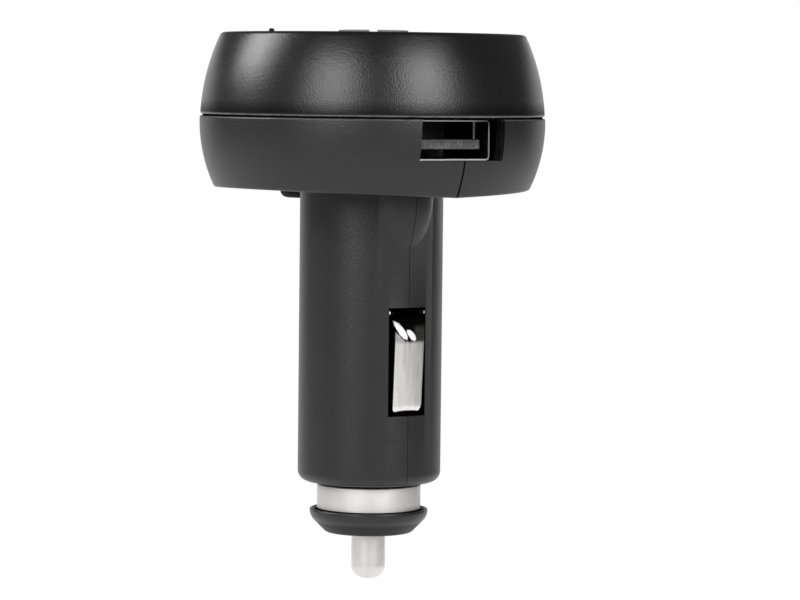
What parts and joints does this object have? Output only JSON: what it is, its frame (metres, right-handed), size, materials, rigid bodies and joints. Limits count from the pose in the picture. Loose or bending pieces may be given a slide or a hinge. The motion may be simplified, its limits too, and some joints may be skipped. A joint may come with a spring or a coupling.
{
  "type": "car usb charger plug",
  "caption": "Plug-in charger for a 12 volt accessory socket: round head with a USB socket in its rim, barrel with sprung side contacts and a sprung fused centre pin.",
  "frame": {"origin": "on the barrel's axis at the shoulder where the head's underside meets the barrel", "axes": "+Z along the barrel's axis towards the head's flat top, -Y towards the USB socket, the two housing halves meet in the plane x = 0"},
  "size_m": [0.0508, 0.0507, 0.0809],
  "materials": {
    "housing_plastic": "fine matt grain",
    "cover_plastic": "coarse leather grain, half gloss",
    "window_plastic": "polished smoked plastic",
    "plug_plastic": "smooth, half gloss",
    "nose_plastic": "smooth matt",
    "screw_steel": "zinc plated",
    "circuit_board": "green solder mask",
    "display_plastic": "moulded black",
    "insulator_plastic": "moulded grey",
    "shell_steel": "tin plated sheet",
    "contact_brass": "stamped brass",
    "contact_nickel": "bright nickel plate",
    "ferrite": "dark ferrite",
    "winding_copper": "enamelled copper wire",
    "capacitor_can": "sleeved can",
    "led_plastic": "clear epoxy",
    "lead_black": "insulated wire",
    "lead_red": "insulated wire",
    "spring_steel": "drawn wire",
    "fuse_glass": "clear glass",
    "pin_steel": "turned, satin",
    "sleeve_steel": "turned, satin"
  },
  "bodies": {
    "housing": {"left_housing": "housing_plastic", "right_housing": "housing_plastic", "top_cover": "cover_plastic", "display_window": "window_plastic", "indicator_lens": "window_plastic", "underside_plug": "plug_plastic", "cover_screw": "screw_steel", "main_board": "circuit_board", "display_board": "circuit_board", "display_module": "display_plastic", "header_pins": "contact_brass", "usb_shell": "shell_steel", "usb_insulator": "insulator_plastic", "usb_contacts": "contact_brass", "inductor_core": "ferrite", "inductor_winding": "winding_copper", "input_capacitor": "capacitor_can", "output_capacitor": "capacitor_can", "controller_chip": "display_plastic", "indicator_led": "led_plastic", "ground_ring": "contact_brass", "ground_lead": "lead_black", "positive_lead": "lead_red", "spring_terminal": "contact_brass", "pin_spring": "spring_steel", "tip_sleeve": "sleeve_steel", "nose_cap": "nose_plastic"},
    "centre_pin": {"contact_pin": "pin_steel", "fuse_tube": "fuse_glass", "fuse_caps": "contact_nickel", "fuse_wire": "spring_steel"},
    "front_contact": {"front_side_contact": "contact_nickel"},
    "rear_contact": {"rear_side_contact": "contact_nickel"}
  },
  "joints": [
    {"name": "pin_push", "type": "slide", "parent": "housing", "child": "centre_pin", "axis": [0, 0, 1], "range_m": [0, 0.003], "stiffness_N_per_m": 1500, "springref_m": -0.001, "deforming": ["pin_spring"]},
    {"name": "front_contact_press", "type": "hinge", "parent": "housing", "child": "front_contact", "pos_m": [0, -0.0066, -0.0131], "axis": [1, 0, 0], "range_deg": [0, 6], "stiffness_Nm_per_rad": 0.4, "springref_deg": -1.15},
    {"name": "rear_contact_press", "type": "hinge", "parent": "housing", "child": "rear_contact", "pos_m": [0, 0.0066, -0.0131], "axis": [-1, 0, 0], "range_deg": [0, 6], "stiffness_Nm_per_rad": 0.4, "springref_deg": -1.15}
  ]
}
